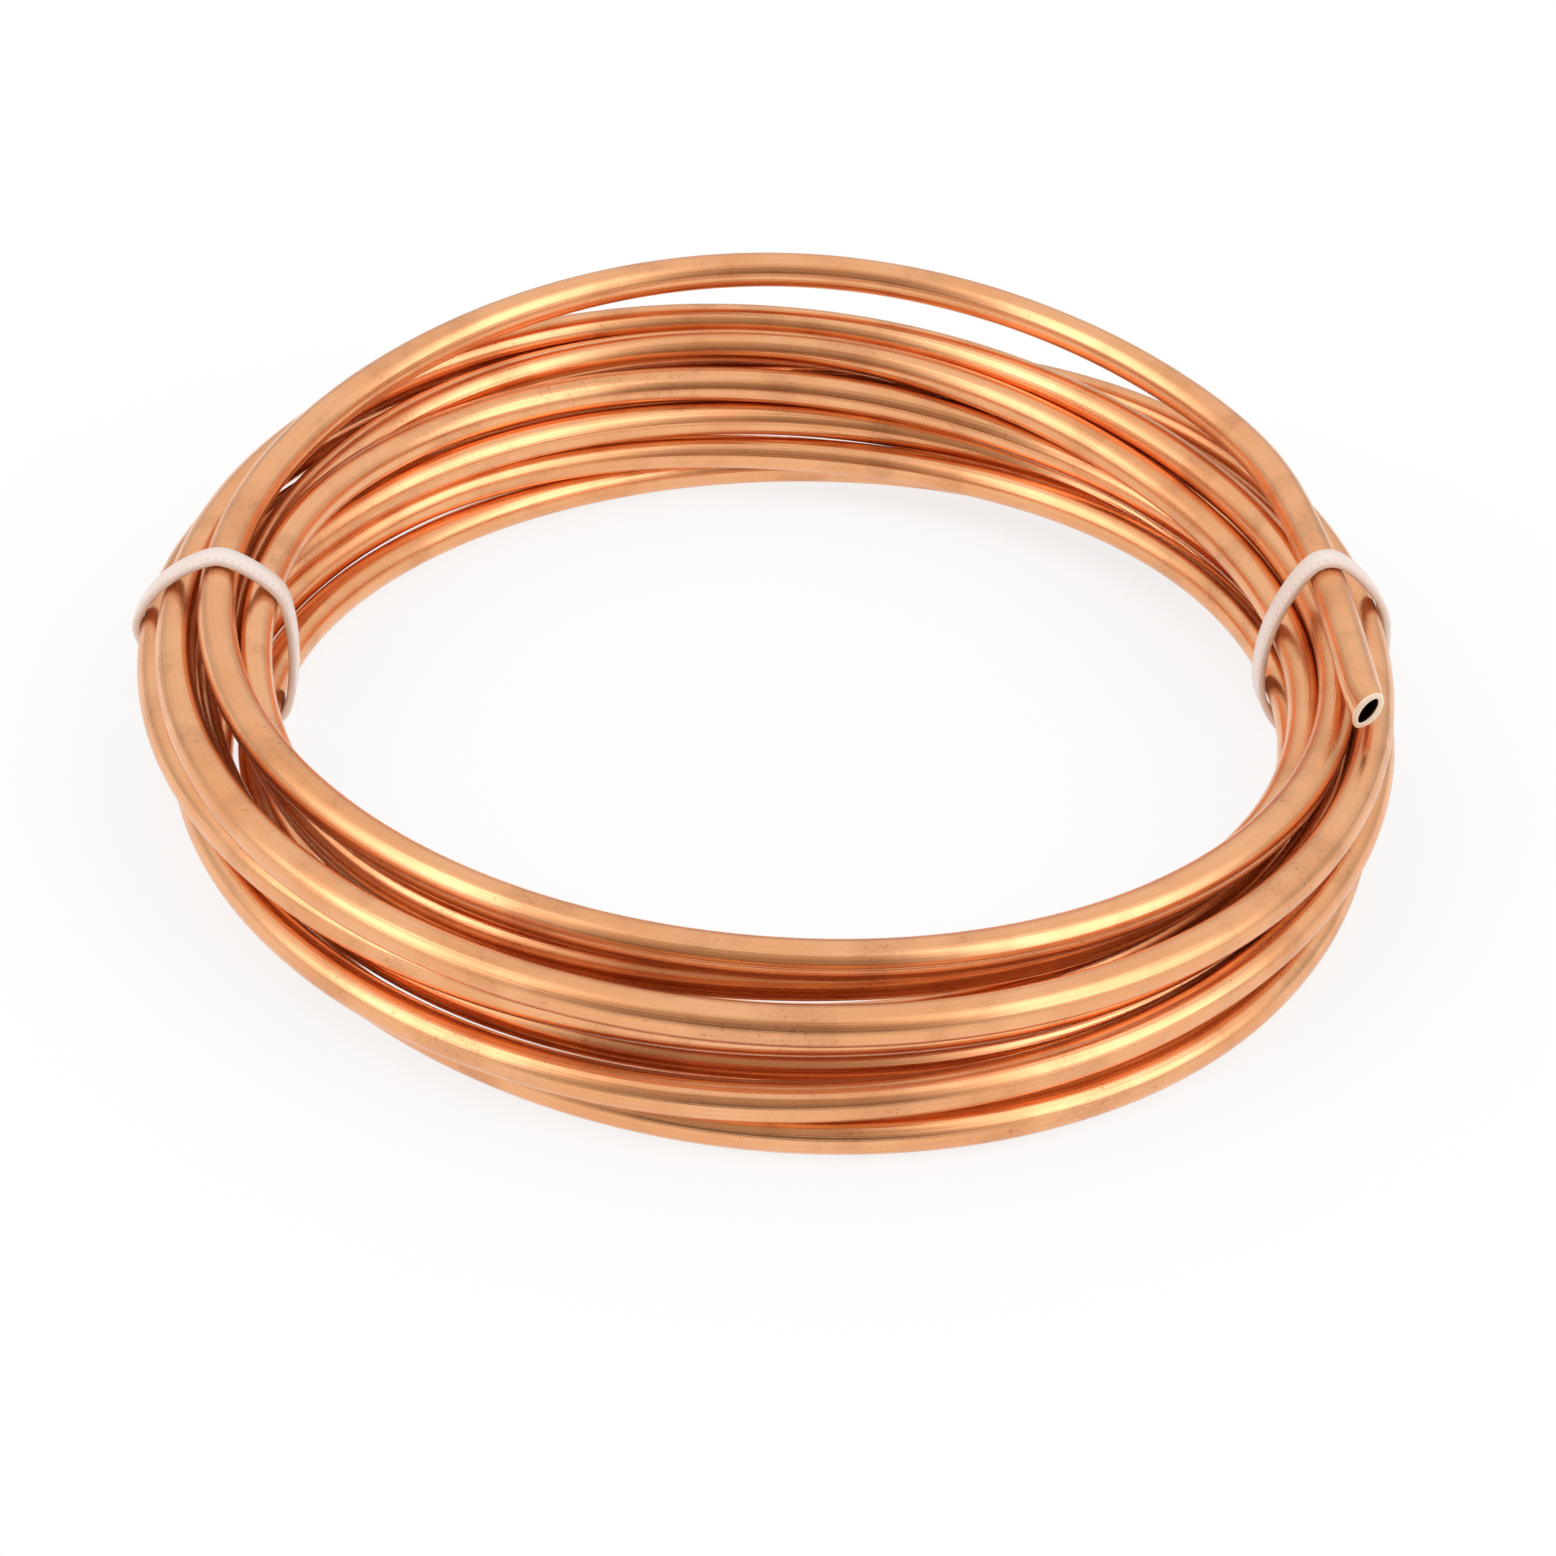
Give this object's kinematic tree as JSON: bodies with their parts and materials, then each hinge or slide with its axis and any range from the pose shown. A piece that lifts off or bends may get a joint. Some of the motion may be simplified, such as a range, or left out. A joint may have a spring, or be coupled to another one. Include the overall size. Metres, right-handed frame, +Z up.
{
  "type": "copper tube coil",
  "caption": "Flat-lying coil of soft bright copper tube with a raised loose end on top, held together by nylon cable ties; stock for gas, oil or refrigerant lines.",
  "frame": {"origin": "on the floor, on the axis of the coil", "axes": "+Z up along the coil's axis, +X to the coil's right, where the loose end lies, and +Y to its back"},
  "size_m": [0.2024, 0.2004, 0.0398],
  "materials": {
    "copper": "bright satin copper with fine drawing lines",
    "nylon": "natural translucent nylon"
  },
  "bodies": {
    "root": {"copper_tube": "copper", "cable_tie_left": "nylon", "cable_tie_right": "nylon"}
  },
  "joints": []
}
